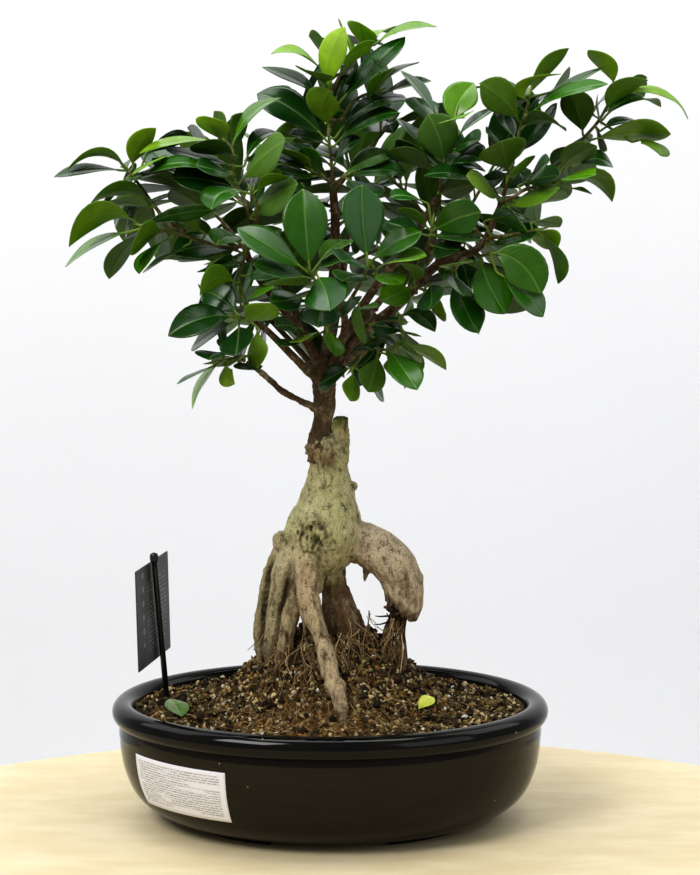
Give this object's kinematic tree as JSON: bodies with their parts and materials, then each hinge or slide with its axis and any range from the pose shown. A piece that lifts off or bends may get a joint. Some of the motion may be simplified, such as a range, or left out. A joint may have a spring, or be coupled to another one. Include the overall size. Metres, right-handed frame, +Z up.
{
  "type": "bonsai tree in a pot",
  "caption": "Grafted fig bonsai with thick exposed roots, an arching side root and a glossy leafy crown, in a black oval glazed pot with a plant tag and a care label.",
  "frame": {"origin": "centre of the whole object's box, on the plane that the pot's feet stand on; the pot's own centre is at x -28.5 mm, y -17.3 mm", "axes": "+Z up along the trunk, +X to the right along the pot's long side seen from the front, +Y to the back"},
  "size_m": [0.395, 0.2484, 0.5043],
  "materials": {
    "pot_glaze": "glossy black glaze, smooth",
    "drain_mesh": "fine black plastic mesh",
    "soil_mix": "rough brown mix with bark bits, fibres and white perlite",
    "root_bark": "smooth greenish grey bark with lenticels and scars",
    "twig_bark": "dark brown rough bark",
    "foliage": "waxy dark green leaves, glossy upper side and paler underside",
    "tag_card": "satin black card with plain grey lines",
    "tag_stake": "black plastic",
    "label_paper": "white paper with plain grey lines",
    "fallen_green": "dull green leaf",
    "fallen_yellow": "yellow-green leaf"
  },
  "bodies": {
    "root": {"oval_pot": "pot_glaze", "drain_mesh_left": "drain_mesh", "drain_mesh_right": "drain_mesh", "soil": "soil_mix", "rootstock_trunk": "root_bark", "grafted_stem": "twig_bark", "tag_card": "tag_card", "tag_stake": "tag_stake", "care_label": "label_paper", "fallen_leaf_green": "fallen_green", "fallen_leaf_yellow": "fallen_yellow", "leafy_twig_left_1": "foliage", "leafy_twig_front_left_1": "foliage", "leafy_twig_left_2": "foliage", "leafy_twig_front_centre_1": "foliage", "leafy_twig_centre_1": "foliage", "leafy_twig_top_centre_1": "foliage", "leafy_twig_top_centre_2": "foliage", "leafy_twig_front_centre_2": "foliage", "leafy_twig_front_centre_3": "foliage", "leafy_twig_low_front_left_1": "foliage", "leafy_twig_left_3": "foliage", "leafy_twig_low_left_1": "foliage", "leafy_twig_low_centre_1": "foliage", "leafy_twig_low_centre_2": "foliage", "leafy_twig_right_1": "foliage", "leafy_twig_right_2": "foliage", "leafy_twig_top_right_1": "foliage", "leafy_twig_right_3": "foliage", "leafy_twig_front_right_1": "foliage", "leafy_twig_front_right_2": "foliage", "leafy_twig_front_centre_4": "foliage", "leafy_twig_front_right_3": "foliage", "leafy_twig_front_centre_5": "foliage", "leafy_twig_low_front_centre_1": "foliage", "leafy_twig_low_centre_3": "foliage", "leafy_twig_back_left_1": "foliage", "leafy_twig_back_left_2": "foliage", "leafy_twig_back_centre_1": "foliage", "leafy_twig_back_centre_2": "foliage", "leafy_twig_back_centre_3": "foliage", "leafy_twig_back_centre_4": "foliage", "leafy_twig_back_right_1": "foliage", "leafy_twig_back_right_2": "foliage", "leafy_twig_back_right_3": "foliage", "leafy_twig_low_back_left_1": "foliage", "leafy_twig_low_back_centre_1": "foliage", "leafy_twig_back_right_4": "foliage", "leafy_twig_low_back_centre_2": "foliage", "leafy_twig_back_centre_5": "foliage", "leafy_twig_back_centre_6": "foliage", "leafy_twig_inner_centre_1": "foliage", "leafy_twig_inner_centre_2": "foliage", "leafy_twig_inner_right_1": "foliage", "leafy_twig_inner_centre_3": "foliage", "leafy_twig_inner_right_2": "foliage", "leafy_twig_inner_left_1": "foliage", "leafy_twig_top_inner_centre_1": "foliage"}
  },
  "joints": []
}
